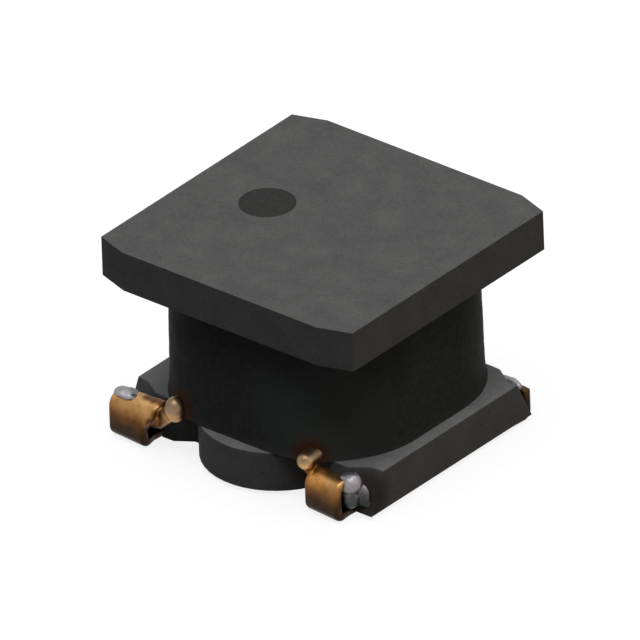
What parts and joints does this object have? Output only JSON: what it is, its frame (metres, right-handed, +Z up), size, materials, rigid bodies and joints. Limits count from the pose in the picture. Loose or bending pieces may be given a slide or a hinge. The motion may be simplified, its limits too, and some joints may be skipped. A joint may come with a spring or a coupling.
{
  "type": "shielded smd inductor",
  "caption": "Surface-mount power inductor: ferrite drum core, copper winding in magnetic resin, two hooked wire ends.",
  "frame": {"origin": "bottom centre of the part, on the seating plane of its two terminals", "axes": "+Z up from the board, through the post; +X from the left terminal to the right one; +Y along the terminals, from the side where the wire leaves the resin to the back"},
  "size_m": [0.006, 0.006, 0.0043],
  "materials": {
    "ferrite": "matte",
    "resin": "matte",
    "copper": "satin",
    "metallising": "satin",
    "solder": "satin",
    "ink": "matte"
  },
  "bodies": {
    "root": {"drum_core": "ferrite", "winding": "copper", "resin_shield": "resin", "electrode_left": "metallising", "electrode_right": "metallising", "solder_left": "solder", "solder_right": "solder", "polarity_mark": "ink"}
  },
  "joints": []
}
